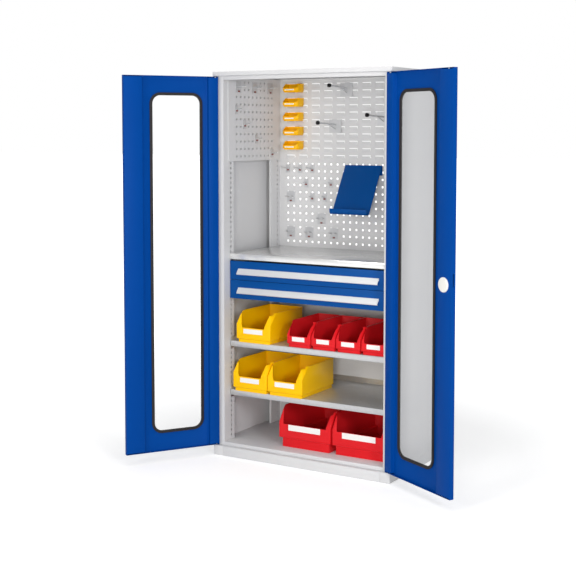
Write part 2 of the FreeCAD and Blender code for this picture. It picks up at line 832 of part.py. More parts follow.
def storage_bin(w, length, h, shares):
    """Open-fronted bin on its foot, its front at y = 0 and its middle at x = 0."""
    cheek = h * shares["cheek"]
    run = length * shares["run"]
    inset = w * shares["inset"]
    base = h * shares["base"]
    side, view = bin_outlines(w, length, h, cheek, run, inset, base, 0, 0)
    shell = prism(side, "x", -w, w).common(prism(view, "y", -overrun, length + overrun))
    side, view = bin_outlines(w, length, h, cheek, run, inset, base, bin_wall, overrun)
    shell = shell.cut(prism(side, "x", -w, w).common(prism(view, "y", -overrun, length + overrun)))
    return shell.cut(bin_mouth(w, h, run, shares)).fuse(label_holder(w, h, shares))


def bin_mouth(w, h, run, shares):
    """The notch in a bin's front, wider at the top."""
    half = w * shares["notch"] / 2
    edge = h * shares["edge"]
    flare = (h - edge) * bin_mouth_share
    outline = [(-half, edge), (half, edge), (half + flare, h + overrun), (-half - flare, h + overrun)]
    return prism(outline, "y", -overrun, bin_wall + run * bin_mouth_share)


def label_holder(w, h, shares):
    """Raised field for a label on a bin's front."""
    half = w * shares["label_width"] / 2
    low = h * shares["label_rise"]
    return block(-half, half, -bin_label_proud, 0, low, low + h * shares["label_height"])


def placed(shape, x, y, z):
    """A copy of a shape moved to its place."""
    return shape.translated(Vector(x, y, z))


def hung_bin():
    """Small bin with the rear hook by which it hangs on a louvre, its hook's seat at z = 0."""
    body = storage_bin(hung_bin_width, hung_bin_length, hung_bin_height, hung_bin_shares)
    half = hung_bin_width / 2 - bin_rim
    t = hung_bin_hook_sheet
    far = hung_bin_length + louvre_reach - fit_gap
    top = hung_bin_height
    ledge = block(-half, half, hung_bin_length, far, top - t, top)
    tip = block(-half, half, far - t, far, top - t - hung_bin_hook, top - t)
    body = body.fuse([ledge, tip])
    body.translate(Vector(0, back_face - louvre_reach - fit_gap - hung_bin_length, fit_gap + t - top))
    return body


def louvre_holder():
    """Plate hung on a louvre, its hook's seat at z = 0, with an arm and the brace under it."""
    near = back_face - louvre_reach - fit_gap
    half = holder_width / 2
    t = holder_sheet
    top = fit_gap + t
    tip = near + louvre_reach - fit_gap
    path = [(tip, top - holder_hook), (tip, top), (near - t, top), (near - t, top - holder_height),
            (back_face - fit_gap, top - holder_height)]
    plate = prism(folded(path[::-1], t), "x", -half, half)
    root = Vector(0, near - t, top - holder_height / 2 + arm_rise)
    tip_point = root + Vector(0, -arm_reach, arm_rise)
    arm = slim_bar(root, tip_point, arm_radius)
    knee = root + Vector(0, -brace_reach, arm_rise * brace_reach / arm_reach)
    brace = slim_bar(root - Vector(0, 0, brace_drop), knee, brace_radius)
    return plate.fuse([arm, brace]), tip_point


def document_stand():
    """Bent plate for papers: a rear flange, the sloping rest and a rolled trough with its front lip."""
    rear = back_face - fit_gap
    stand_top = panel_split - stand_drop
    head = rear - stand_head
    lean = math.atan2(stand_slope_run, stand_slope_drop)
    r = stand_trough_radius
    centre_y = head - stand_slope_run - r * math.cos(lean)
    centre_z = stand_top - stand_slope_drop + r * math.sin(lean)
    path = [(rear, stand_top - stand_rear_drop), (rear, stand_top), (head, stand_top)]
    for side in range(stand_trough_sides + 1):
        turn = lean + (math.pi - lean) * side / stand_trough_sides
        path.append((centre_y + r * math.cos(turn), centre_z - r * math.sin(turn)))
    path.append((centre_y - r, centre_z + stand_lip_rise))
    left = back_hole_first + stand_shift
    return prism(folded(path[::-1], stand_sheet), "x", left, left + stand_width)


def tool_hook(w, top, bottom, offsets, length):
    """Hook plate with its prongs, facing -Y, about the hole it is clipped in."""
    plate = block(-w / 2, w / 2, -fit_gap - hook_sheet, -fit_gap, -bottom, top)
    tilt = math.radians(prong_tilt)
    prongs = []
    for x in offsets:
        root = Vector(x, -fit_gap - hook_sheet / 2, prong_rise)
        reach = Vector(0, -math.cos(tilt) * length, math.sin(tilt) * length)
        prongs.append(slim_bar(root, root + reach, prong_radius))
    return plate.fuse(prongs)


def hook_clip(rise):
    """Retaining clip on the hook's plate."""
    front = -fit_gap - hook_sheet
    half = hook_clip_width / 2
    return block(-half, half, front - hook_clip_depth, front, rise, rise + hook_clip_height)


def on_back(shape, column, row_share, shift):
    """A hook moved to its hole in the perforated back panel."""
    x = back_hole_first + column * hole_pitch + shift
    row = round(row_share * (back_hole_rows - 1))
    return placed(shape, x, back_face, back_hole_top - row * hole_pitch)


def on_side(shape, column_share, row_share, shift):
    """A hook turned to face the middle of the cabinet and moved to its hole in the left panel."""
    turned = shape.rotated(Vector(0, 0, 0), Vector(0, 0, 1), facing_turn)
    column = round(column_share * (side_hole_columns - 1))
    row = round(row_share * (side_hole_rows - 1))
    y = side_hole_first + column * hole_pitch + shift
    return placed(turned, -post_face + side_panel_return, y, side_hole_top - row * hole_pitch)


def hooks_and_clips():
    """Every hook and its clip, on the back panel and on the left panel."""
    single = (hook_width, hook_top, hook_bottom, (0,))
    double = (wide_hook_width, wide_hook_top, wide_hook_bottom, (-prong_spread, prong_spread))
    long_hook = tool_hook(*single, long_prong)
    short_hook = tool_hook(*single, short_prong)
    wide_hook = tool_hook(*double, short_prong)
    clip = hook_clip(hook_clip_rise - hook_clip_height / 2)
    wide_clip = hook_clip(wide_hook_clip_rise - hook_clip_height / 2)
    between = hole_pitch / 2
    sets = ((on_back, back_long_hook_shares, long_hook, clip, 0),
            (on_back, back_short_hook_shares, short_hook, clip, 0),
            (on_back, back_wide_hook_shares, wide_hook, wide_clip, between),
            (on_side, side_short_hook_shares, short_hook, clip, 0),
            (on_side, side_wide_hook_shares, wide_hook, wide_clip, between))
    hooks = []
    clips = []
    for place, spots, hook, its_clip, shift in sets:
        for column, row in spots:
            hooks.append(place(hook, column, row, shift))
            clips.append(place(its_clip, column, row, shift))
    return hooks, clips


def build_carcass():
    save("side_wall_left", side_wall())
    save("side_wall_right", mirrored(side_wall()))
    save("roof_cap", roof_cap())
    save("front_header", front_header())
    save("plinth_frame", plinth_frame())
    save("plinth_cover", plinth_cover())
    save("floor_pan", floor_pan())
    save("back_wall_lower", back_wall_lower())
    save("perforated_back_panel", perforated_back_panel())
    save("louvre_panel", louvre_panel())
    save("side_panel_left", side_panel())
    save("side_panel_right", mirrored(side_panel()))
    save("worktop", shelf(worktop_height, worktop_side_gap, 0, 0))
    save("shelf_upper", shelf(upper_shelf_height, shelf_side_gap, shelf_upstand, shelf_side_upstand))
    save("shelf_lower", shelf(lower_shelf_height, shelf_side_gap, shelf_upstand, shelf_side_upstand))
    clips = []
    for top in (worktop_height, upper_shelf_height, lower_shelf_height):
        clips += shelf_clips(top)
    save("shelf_clips", *clips)
    save("hinge_pins", *hinge_pins())


def build_doors():
    pane = door_pane()
    plain = door_skin(False)
    holed = door_skin(True)
    left = [plain, door_seal(plain, pane), pane] + door_stiffeners()
    left = swung([mirrored(shape) for shape in left], -1, -left_door_rest_angle)
    save("left_door_skin", left[0])
    save("left_door_seal", left[1])
    save("left_door_pane", left[2])
    save("left_door_stiffeners", *left[3:])
    right = [holed, door_seal(holed, pane), pane] + door_stiffeners()
    right = swung(right, 1, right_door_rest_angle)
    save("right_door_skin", right[0])
    save("right_door_seal", right[1])
    save("right_door_pane", right[2])
    save("right_door_stiffeners", *right[3:])
    parts = {"lock_case": lock_case(), "lock_cover": lock_cover(), "lock_knob": lock_knob(),
             "lock_cam": lock_cam(), "upper_lock_rod": lock_rod(1), "lower_lock_rod": lock_rod(-1)}
    for name, shape in parts.items():
        save(name, *swung([shape], 1, right_door_rest_angle))


def build_drawers():
    fixed_rails = []
    lower_top = drawer_base + drawer_front_height
    for name, top in (("upper", drawer_top), ("lower", lower_top)):
        fixed, sliding, runner = slide_rails(top)
        fixed_rails += pair(fixed)
        save(name + "_middle_rails", *pair(sliding))
        save(name + "_drawer_box", drawer_box(top, runner))
        save(name + "_drawer_front", drawer_front(top))
        save(name + "_drawer_grip", drawer_grip(top))
    save("fixed_slide_rails", *fixed_rails)


def build_bins():
    upper_seat = upper_shelf_height + fit_gap
    lower_seat = lower_shelf_height + fit_gap
    yellow = storage_bin(large_bin_width, large_bin_length, large_bin_height, large_bin_shares)
    front = shelf_front - large_bin_overhang
    middle = large_bin_width / 2 - post_face
    save("large_bin_1", placed(yellow, middle + upper_large_bin_gap, front, upper_seat))
    for i in range(large_bin_count):
        x = middle + lower_large_bin_gap + i * (large_bin_width + large_bin_spacing)
        save("large_bin_" + str(i + 2), placed(yellow, x, front, lower_seat))
    red = storage_bin(medium_bin_width, medium_bin_length, medium_bin_height, medium_bin_shares)
    for i in range(medium_bin_count):
        x = medium_row_start + medium_bin_width / 2 + i * medium_bin_pitch
        save("medium_bin_" + str(i + 1), placed(red, x, shelf_front, upper_seat))
    wide = storage_bin(wide_bin_width, wide_bin_length, wide_bin_height, wide_bin_shares)
    last = post_face - wide_bin_side_gap - wide_bin_width / 2
    for i in range(wide_bin_count):
        x = last - (wide_bin_count - 1 - i) * (wide_bin_width + wide_bin_spacing)
        save("wide_bin_" + str(i + 1), placed(wide, x, wide_bin_front, floor_height + fit_gap))
    small = hung_bin()
    for i in range(hung_bin_count):
        z = louvre_top - i * louvre_row_pitch * hung_bin_row_step
        save("hung_bin_" + str(i + 1), placed(small, louvre_first + hung_bin_shift, 0, z))


def end_ball(tip):
    """Ball pushed onto an arm, drawn with few flat faces."""
    r = ball_radius
    flat = r * ball_flat_share
    outline = [(-flat, -r), (flat, -r), (r, -flat), (r, flat), (flat, r), (-flat, r), (-r, flat), (-r, -flat)]
    ball = prism(outline, "x", -r, r).common(prism(outline, "y", -r, r)).common(prism(outline, "z", -r, r))
    return ball.translated(tip)


def build_fittings():
    plate, tip = louvre_holder()
    arms = []
    balls = []
    for share, row in zip(holder_place_shares, holder_rows):
        x = share * louvre_pitch
        z = louvre_top - row * louvre_row_pitch
        arms.append(placed(plate, x, 0, z))
        balls.append(end_ball(tip + Vector(x, 0, z)).cut(arms[-1]))
    save("tool_arms", *arms)
    save("arm_tips", *balls)
    save("document_stand", document_stand())
    hooks, clips = hooks_and_clips()
    save("panel_hooks", *hooks)
    save("hook_clips", *clips)


os.makedirs("parts", exist_ok=True)
build_carcass()
build_doors()
build_drawers()
build_bins()
build_fittings()
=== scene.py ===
import math

import bmesh
import bpy
from mathutils import Matrix, Vector


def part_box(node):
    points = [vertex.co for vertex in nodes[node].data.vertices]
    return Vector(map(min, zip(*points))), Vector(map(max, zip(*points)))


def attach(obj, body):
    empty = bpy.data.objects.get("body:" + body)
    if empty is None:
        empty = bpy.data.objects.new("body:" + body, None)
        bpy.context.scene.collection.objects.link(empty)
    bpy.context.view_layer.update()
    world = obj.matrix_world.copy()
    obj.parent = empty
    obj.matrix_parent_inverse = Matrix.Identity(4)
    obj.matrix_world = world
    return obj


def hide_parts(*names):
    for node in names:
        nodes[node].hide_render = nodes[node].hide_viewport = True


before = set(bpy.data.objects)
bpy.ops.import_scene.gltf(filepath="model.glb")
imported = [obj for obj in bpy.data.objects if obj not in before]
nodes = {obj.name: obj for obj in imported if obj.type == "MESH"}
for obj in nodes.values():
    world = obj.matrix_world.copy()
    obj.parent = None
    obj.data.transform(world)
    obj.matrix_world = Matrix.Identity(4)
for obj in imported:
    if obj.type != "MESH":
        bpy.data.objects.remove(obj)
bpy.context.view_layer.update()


# Studio: a white floor that keeps soft shadows, white surroundings, broad lamps from the front
# left, the front right, the right and above, and the camera at standing eye height.

def linear(hex_code):
    """An sRGB hex colour as the linear colour that shaders and lamps take."""
    shares = [int(hex_code[i:i + 2], 16) / 255 for i in (1, 3, 5)]
    return [s / 12.92 if s <= 0.04045 else ((s + 0.055) / 1.055) ** 2.4 for s in shares] + [1]


def add_node(tree, kind, inputs=None, **settings):
    """A node with its settings, its input values and its incoming links."""
    made = tree.nodes.new(kind)
    for name, value in settings.items():
        setattr(made, name, value)
    for name, value in (inputs or {}).items():
        if isinstance(value, bpy.types.NodeSocket):
            tree.links.new(value, made.inputs[name])
        else:
            made.inputs[name].default_value = value
    return made


def new_material(name):
    """An empty node material and its tree."""
    material = bpy.data.materials.new(name)
    material.use_nodes = True
    material.node_tree.nodes.clear()
    return material, material.node_tree


# Matt white studio paper. It glows to the camera, less near the cabinet than further off, so it
# turns white around it and still shows a soft shadow. Glossy pieces mirror a duller floor.
dim_radius, white_radius = 1.0, 3.6
dim_glow, white_glow = 0.42, 1.1
mirrored_share = 0.6
paper, tree = new_material("studio_paper")
coordinates = add_node(tree, "ShaderNodeTexCoord")
fibre = add_node(tree, "ShaderNodeTexNoise", {"Vector": coordinates.outputs["Object"], "Scale": 400.0})
paper_tone = add_node(tree, "ShaderNodeMapRange", {
    "Value": fibre.outputs["Fac"], "To Min": 0.80, "To Max": 0.84})
paper_colour = add_node(tree, "ShaderNodeCombineColor", {
    "Red": paper_tone.outputs[0], "Green": paper_tone.outputs[0], "Blue": paper_tone.outputs[0]})
paper_face = add_node(tree, "ShaderNodeBsdfDiffuse", {"Color": paper_colour.outputs[0]})
ray = add_node(tree, "ShaderNodeLightPath")
mirrored = add_node(tree, "ShaderNodeMath", {0: ray.outputs["Is Glossy Ray"], 1: mirrored_share},
                    operation="MULTIPLY")
straight = add_node(tree, "ShaderNodeMath", {0: ray.outputs["Is Camera Ray"], 1: mirrored.outputs[0]},
                    operation="MAXIMUM")
seen = add_node(tree, "ShaderNodeMath", {0: straight.outputs[0], 1: ray.outputs["Is Transmission Ray"]},
                operation="MAXIMUM")
reach = add_node(tree, "ShaderNodeVectorMath", {0: coordinates.outputs["Object"]}, operation="LENGTH")
far = add_node(tree, "ShaderNodeMapRange", {
    "Value": reach.outputs["Value"], "From Min": dim_radius, "From Max": white_radius,
    "To Min": dim_glow, "To Max": white_glow})
strength = add_node(tree, "ShaderNodeMath", {0: seen.outputs[0], 1: far.outputs[0]}, operation="MULTIPLY")
glow = add_node(tree, "ShaderNodeEmission", {"Color": linear("#FFFFFF"), "Strength": strength.outputs[0]})
paper_sum = add_node(tree, "ShaderNodeAddShader", {0: paper_face.outputs[0], 1: glow.outputs[0]})
add_node(tree, "ShaderNodeOutputMaterial", {"Surface": paper_sum.outputs[0]})

floor_half = 60.0
floor_level = -0.0006
floor_mesh = bpy.data.meshes.new("studio_floor")
floor_mesh.from_pydata([(x * floor_half, y * floor_half, floor_level)
                        for x, y in ((-1, -1), (1, -1), (1, 1), (-1, 1))], [], [(0, 1, 2, 3)])
floor_mesh.materials.append(paper)
studio_floor = bpy.data.objects.new("studio_floor", floor_mesh)
bpy.context.collection.objects.link(studio_floor)

world = bpy.data.worlds.new("white_studio")
bpy.context.scene.world = world
world.use_nodes = True
tree = world.node_tree
tree.nodes.clear()
ray = add_node(tree, "ShaderNodeLightPath")
seen = add_node(tree, "ShaderNodeMath", {
    0: ray.outputs["Is Camera Ray"], 1: ray.outputs["Is Transmission Ray"]}, operation="MAXIMUM")
fill_level = 0.46
ambient = add_node(tree, "ShaderNodeBackground", {"Color": linear("#F8F9FA"), "Strength": fill_level})
white = add_node(tree, "ShaderNodeBackground", {"Color": linear("#FFFFFF"), "Strength": 1.0})
both = add_node(tree, "ShaderNodeMixShader", {0: seen.outputs[0], 1: ambient.outputs[0], 2: white.outputs[0]})
add_node(tree, "ShaderNodeOutputWorld", {"Surface": both.outputs[0]})


def soft_lamp(name, place, aim, size, watts, colour):
    """A square studio lamp of a size in metres that points at a place."""
    lamp = bpy.data.lights.new(name, "AREA")
    lamp.size = size
    lamp.energy = watts
    lamp.color = linear(colour)[:3]
    holder = bpy.data.objects.new(name, lamp)
    holder.location = place
    holder.rotation_euler = (Vector(aim) - Vector(place)).to_track_quat("-Z", "Y").to_euler()
    bpy.context.collection.objects.link(holder)


soft_lamp("main_lamp", (-0.9, -6.2, 2.6), (0.0, 0.0, 1.1), size=1.2, watts=60, colour="#FFFDFA")
soft_lamp("low_lamp", (2.7, -5.8, 1.0), (0.0, 0.0, 0.6), size=1.6, watts=150, colour="#FFFDFA")
soft_lamp("side_lamp", (4.4, -3.6, 2.3), (0.0, 0.0, 0.9), size=1.0, watts=80, colour="#FBFCFF")
soft_lamp("top_lamp", (0.2, -1.4, 5.4), (0.1, -0.5, 0.0), size=3.6, watts=50, colour="#FFFFFF")

camera = bpy.data.cameras.new("camera")
camera.lens = 73.92
camera.sensor_width = 36
camera.shift_y = -0.1301
camera_holder = bpy.data.objects.new("camera", camera)
camera_holder.location = (2.91057, -5.21385, 1.65753)
camera_holder.rotation_euler = (math.radians(86), 0, math.radians(31.13))
bpy.context.collection.objects.link(camera_holder)
bpy.context.scene.camera = camera_holder
bpy.context.scene.view_settings.view_transform = "Standard"


# Carcass: two side walls, each folded from one sheet with a post at the front and the rear,
# a roof cap, a header, a plinth, a floor pan and a back wall. All are 1.5 mm steel sheet, cut,
# folded, welded and powder coated light grey. The posts have a row of slots for shelf clips.

def powder_coat(name, colour, shade, roughness, specular):
    """Polyester powder, sprayed and baked: satin, nearly even in colour, with a fine orange-peel
    ripple. The real ripple is about 1 mm wide and is drawn at 3 mm so that it shows."""
    cloud_mm, ripple_mm = 320, 3
    material, tree = new_material(name)
    place = add_node(tree, "ShaderNodeTexCoord").outputs["Object"]
    cloud = add_node(tree, "ShaderNodeTexNoise", {"Vector": place, "Scale": 1000 / cloud_mm, "Detail": 3.0})
    colour_mix = add_node(tree, "ShaderNodeMix", {
        "Factor": cloud.outputs["Fac"], 6: linear(colour), 7: linear(shade)}, data_type="RGBA")
    ripple = add_node(tree, "ShaderNodeTexNoise", {
        "Vector": place, "Scale": 1000 / ripple_mm, "Detail": 1.0})
    gloss = add_node(tree, "ShaderNodeMapRange", {
        "Value": ripple.outputs["Fac"], "To Min": roughness - 0.05, "To Max": roughness + 0.05})
    bump = add_node(tree, "ShaderNodeBump", {
        "Height": ripple.outputs["Fac"], "Strength": 0.06, "Distance": 0.0004})
    shader = add_node(tree, "ShaderNodeBsdfPrincipled", {
        "Base Color": colour_mix.outputs[2], "Roughness": gloss.outputs[0], "Normal": bump.outputs[0],
        "IOR": 1.5, "Specular IOR Level": specular})
    add_node(tree, "ShaderNodeOutputMaterial", {"Surface": shader.outputs[0]})
    return material


grey_coat = powder_coat("grey_powder_coat", "#D6D6D7", "#D1D1D2", 0.45, 0.3)


def soften(shape, radius, segments, fold):
    """Merges a shape's triangles to whole faces and rounds its edges that fold more than an angle."""
    merge_distance = 0.00002
    bmesh.ops.remove_doubles(shape, verts=shape.verts, dist=merge_distance)
    bmesh.ops.dissolve_limit(shape, angle_limit=math.radians(1), verts=shape.verts, edges=shape.edges)
    if radius:
        sharp = [edge for edge in shape.edges
                 if edge.is_manifold and edge.calc_face_angle(0) > math.radians(fold)]
        bmesh.ops.bevel(shape, geom=sharp, offset=radius, segments=segments, profile=0.5,
                        affect="EDGES", clamp_overlap=True)


def rounded_copy(name, source, radius, segments=2, fold=25, *, material):
    """A new piece from a CAD node, with whole faces and rounded edges."""
    shape = bmesh.new()
    shape.from_mesh(nodes[source].data)
    soften(shape, radius, segments, fold)
    mesh = bpy.data.meshes.new(name)
    shape.to_mesh(mesh)
    shape.free()
    return finished(name, mesh, material)


def finished(name, mesh, material):
    """An object at the origin with smooth faces between its sharp edges."""
    sharp_degrees = 32
    mesh.materials.clear()
    mesh.materials.append(material)
    mesh.polygons.foreach_set("use_smooth", [True] * len(mesh.polygons))
    mesh.set_sharp_from_angle(angle=math.radians(sharp_degrees))
    piece = bpy.data.objects.new(name, mesh)
    bpy.context.collection.objects.link(piece)
    return piece


def hand_over(piece, body, slot, *stands_for):
    """Ties a piece to its body and hides the CAD nodes that it stands for. Its slot is not used."""
    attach(piece, body)
    if stands_for:
        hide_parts(*stands_for)


def repaint(material, *names):
    """A finish for CAD nodes that keep their shape."""
    for name in names:
        mesh = nodes[name].data
        mesh.materials.clear()
        mesh.materials.append(material)


# The punch: a grid of oblong cutters set out along two directions, taken out of a sheet.
punch = bpy.data.node_groups.new("punched_sheet", "GeometryNodeTree")
punch.interface.new_socket("Sheet", in_out="INPUT", socket_type="NodeSocketGeometry")
for label, kind in (("First Hole", "NodeSocketVector"), ("Hole Size", "NodeSocketVector"),
                    ("Column Step", "NodeSocketVector"), ("Columns", "NodeSocketInt"),
                    ("Row Step", "NodeSocketVector"), ("Rows", "NodeSocketInt"),
                    ("Finish", "NodeSocketMaterial")):
    punch.interface.new_socket(label, in_out="INPUT", socket_type=kind)
punch.interface.new_socket("Sheet", in_out="OUTPUT", socket_type="NodeSocketGeometry")
given = add_node(punch, "NodeGroupInput").outputs
columns = add_node(punch, "GeometryNodeMeshLine", {
    "Count": given["Columns"], "Start Location": given["First Hole"], "Offset": given["Column Step"]})
rows = add_node(punch, "GeometryNodeMeshLine", {"Count": given["Rows"], "Offset": given["Row Step"]})
grid = add_node(punch, "GeometryNodeInstanceOnPoints", {
    "Points": columns.outputs[0], "Instance": rows.outputs[0]})
grid = add_node(punch, "GeometryNodeRealizeInstances", {0: grid.outputs[0]})
cutter = add_node(punch, "GeometryNodeMeshCube", {"Size": given["Hole Size"]})
cutters = add_node(punch, "GeometryNodeInstanceOnPoints", {
    "Points": grid.outputs[0], "Instance": cutter.outputs[0]})
cutters = add_node(punch, "GeometryNodeRealizeInstances", {0: cutters.outputs[0]})
cut = add_node(punch, "GeometryNodeMeshBoolean", {"Mesh 1": given["Sheet"], "Mesh 2": cutters.outputs[0]},
               operation="DIFFERENCE")
whole = add_node(punch, "GeometryNodeRealizeInstances", {0: cut.outputs[0]})
coated = add_node(punch, "GeometryNodeSetMaterial", {
    "Geometry": whole.outputs[0], "Material": given["Finish"]})
add_node(punch, "NodeGroupOutput", {"Sheet": coated.outputs[0]})


def run_tree(piece, tree, values):
    """The plain mesh that a node tree makes of a piece, with the tree's inputs set by name."""
    modifier = piece.modifiers.new(tree.name, "NODES")
    modifier.node_group = tree
    sockets = {item.name: item.identifier for item in tree.interface.items_tree
               if item.item_type == "SOCKET" and item.in_out == "INPUT"}
    for label, value in values.items():
        modifier[sockets[label]] = value
    bpy.context.view_layer.update()
    evaluated = piece.evaluated_get(bpy.context.evaluated_depsgraph_get())
    mesh = bpy.data.meshes.new_from_object(evaluated)
    piece.modifiers.remove(modifier)
    return mesh


def punched(piece, first, size, column_step, column_count, row_step, row_count, material):
    """Replaces a sheet by the same sheet with a grid of holes."""
    mesh = run_tree(piece, punch, {
        "First Hole": first, "Hole Size": size, "Column Step": column_step, "Columns": column_count,
        "Row Step": row_step, "Rows": row_count, "Finish": material})
    piece.data = mesh
    mesh.polygons.foreach_set("use_smooth", [False] * len(mesh.polygons))


def boxed(name, corners, material):
    """One mesh of several upright boxes, each given by its two corners."""
    shape = bmesh.new()
    for low, high in corners:
        middle = (Vector(low) + Vector(high)) / 2
        span = [high[i] - low[i] for i in range(3)]
        bmesh.ops.create_cube(
            shape, size=1, matrix=Matrix.Translation(middle) @ Matrix.Diagonal((*span, 1)))
    mesh = bpy.data.meshes.new(name)
    shape.to_mesh(mesh)
    shape.free()
    return finished(name, mesh, material)


# Both posts of a wall have slots for shelf clips. The rear post is also cut through behind the
# side panel's last column of holes. A liner in each post keeps light from shining through its slots.
# The step between columns has no effect where there is one column.
slot_size = (0.006, 0.009, 0.011)
slot_pitch = 0.025
slot_rows = 57
slot_foot = 0.091
slot_columns_y = (-0.2105, 0.2415)
post_face_x = 0.45275
unused_step = (0, 0.01, 0)
panel_hole_size = (0.006, 0.010, 0.010)
panel_hole_pitch = 0.038
panel_hole_rows = 11
panel_hole_top = 1.904
panel_hole_foot = panel_hole_top - (panel_hole_rows - 1) * panel_hole_pitch
last_column_y = 0.180
liner_x, liner_half = 0.4645, 0.0005
liner_foot, liner_top = 0.051, 1.929
liner_depths = ((-0.2725, -0.1835), (0.1795, 0.2985))
for side, name in ((-1, "side_wall_left"), (1, "side_wall_right")):
    wall = rounded_copy(name + "_steel", name, 0, material=grey_coat)
    for y in slot_columns_y:
        punched(wall, (side * post_face_x, y, slot_foot), slot_size, unused_step, 1,
                (0, 0, slot_pitch), slot_rows, grey_coat)
    punched(wall, (side * post_face_x, last_column_y, panel_hole_foot), panel_hole_size, unused_step, 1,
            (0, 0, panel_hole_pitch), panel_hole_rows, grey_coat)
    hand_over(wall, "cabinet", "grey_powder_coat", name)
    liner = boxed(name + "_liners", [
        ((side * liner_x - liner_half, y0, liner_foot), (side * liner_x + liner_half, y1, liner_top))
        for y0, y1 in liner_depths], grey_coat)
    hand_over(liner, "cabinet", "grey_powder_coat")

for name, radius in (("roof_cap", 0.0007), ("front_header", 0.0006), ("plinth_frame", 0.0006),
                     ("plinth_cover", 0.0006), ("floor_pan", 0.0006)):
    hand_over(rounded_copy(name + "_steel", name, radius, material=grey_coat), "cabinet",
              "grey_powder_coat", name)
repaint(grey_coat, "back_wall_lower")


# Inner walls: a louvred panel above, its louvres pressed out of the sheet for bins and holders,
# a perforated panel with 10 mm square holes on a 38 mm grid below it, and a holed panel on each
# side. They are 1.5 mm sheet in the same grey powder coat.

repaint(grey_coat, "louvre_panel", "perforated_back_panel")
side_panel_x = 0.44875
first_column_y = -0.162
panel_hole_columns = 10
for side, name in ((-1, "side_panel_left"), (1, "side_panel_right")):
    panel = rounded_copy(name + "_steel", name, 0, material=grey_coat)
    punched(panel, (side * side_panel_x, first_column_y, panel_hole_foot), panel_hole_size,
            (0, panel_hole_pitch, 0), panel_hole_columns,
            (0, 0, panel_hole_pitch), panel_hole_rows, grey_coat)
    hand_over(panel, "cabinet", "grey_powder_coat", name)


# Worktop and shelves: folded from hot-dip galvanised sheet and left bare. The zinc has pale
# flowers about 12 mm wide and a soft, slightly blurred gloss.

def galvanised_sheet(name, colour, shade, low_gloss, high_gloss, metallic):
    """Bare zinc: pale flowers, long faint roller streaks and a blurred reflection."""
    flower_mm = 12
    streak_stretch = (12.0, 1.5, 12.0)
    material, tree = new_material(name)
    place = add_node(tree, "ShaderNodeTexCoord").outputs["Object"]
    flowers = add_node(tree, "ShaderNodeTexVoronoi", {"Vector": place, "Scale": 1000 / flower_mm})
    flower_tone = add_node(tree, "ShaderNodeSeparateColor", {0: flowers.outputs["Color"]})
    along = add_node(tree, "ShaderNodeMapping", {"Vector": place, "Scale": streak_stretch})
    streaks = add_node(tree, "ShaderNodeTexNoise", {
        "Vector": along.outputs[0], "Scale": 8.0, "Detail": 2.0})
    zinc_mix = add_node(tree, "ShaderNodeMix", {
        "Factor": flower_tone.outputs[0], 6: linear(colour), 7: linear(shade)}, data_type="RGBA")
    gloss = add_node(tree, "ShaderNodeMapRange", {
        "Value": streaks.outputs["Fac"], "To Min": low_gloss, "To Max": high_gloss})
    bump = add_node(tree, "ShaderNodeBump", {
        "Height": flower_tone.outputs[0], "Strength": 0.02, "Distance": 0.0003})
    shader = add_node(tree, "ShaderNodeBsdfPrincipled", {
        "Base Color": zinc_mix.outputs[2], "Roughness": gloss.outputs[0], "Normal": bump.outputs[0],
        "Metallic": metallic})
    add_node(tree, "ShaderNodeOutputMaterial", {"Surface": shader.outputs[0]})
    return material


# The worktop and the shelves are the same bare zinc sheet in two tones. The worktop's zinc is painted lighter
# as painted light on its top, and the shelves' zinc is painted darker as painted shade in the bays.
worktop_zinc_painted_light = galvanised_sheet("galvanised_worktop_painted_light", "#E3E3E2", "#E8E8E7", 0.20, 0.28, 0.6)
shelf_zinc_painted_shade = galvanised_sheet("galvanised_shelf_painted_shade", "#C2C3C4", "#C7C8C9", 0.26, 0.36, 0.6)
for name, finish in (("worktop", worktop_zinc_painted_light), ("shelf_upper", shelf_zinc_painted_shade), ("shelf_lower", shelf_zinc_painted_shade)):
    hand_over(rounded_copy(name + "_steel", name, 0.0007, material=finish), "cabinet",
              "galvanised_sheet", name)


# Shelf clips, hinge pins, slide rails and the lock's inner parts: stamped, turned and rolled
# steel, zinc plated to a bright, slightly bluish grey.

def clouded(name, colours, gloss_range, cloud_mm, detail, constants):
    """A finish whose colour and gloss drift between two values in soft clouds."""
    material, tree = new_material(name)
    place = add_node(tree, "ShaderNodeTexCoord").outputs["Object"]
    cloud = add_node(tree, "ShaderNodeTexNoise", {
        "Vector": place, "Scale": 1000 / cloud_mm, "Detail": detail}).outputs["Fac"]
    colour_mix = add_node(tree, "ShaderNodeMix", {
        "Factor": cloud, 6: linear(colours[0]), 7: linear(colours[1])}, data_type="RGBA")
    gloss = add_node(tree, "ShaderNodeMapRange", {
        "Value": cloud, "To Min": gloss_range[0], "To Max": gloss_range[1]})
    shader = add_node(tree, "ShaderNodeBsdfPrincipled", {
        "Base Color": colour_mix.outputs[2], "Roughness": gloss.outputs[0], **constants})
    add_node(tree, "ShaderNodeOutputMaterial", {"Surface": shader.outputs[0]})
    return material


# Bright zinc plate: cool, mirror-like in places and cloudy in others.
zinc_plate = clouded("bright_zinc_plate", ("#B4B6BA", "#C6C8CB"), (0.24, 0.38), 25, 3.0, {"Metallic": 1.0})
repaint(zinc_plate, "shelf_clips", "hinge_pins", "fixed_slide_rails", "upper_middle_rails",
        "lower_middle_rails", "lock_case", "lock_cam", "upper_lock_rod", "lower_lock_rod")


# Doors: a pan of 1.2 mm sheet with its edges turned back and a rounded window, stiffened by two
# channels welded inside, powder coated gentian blue.

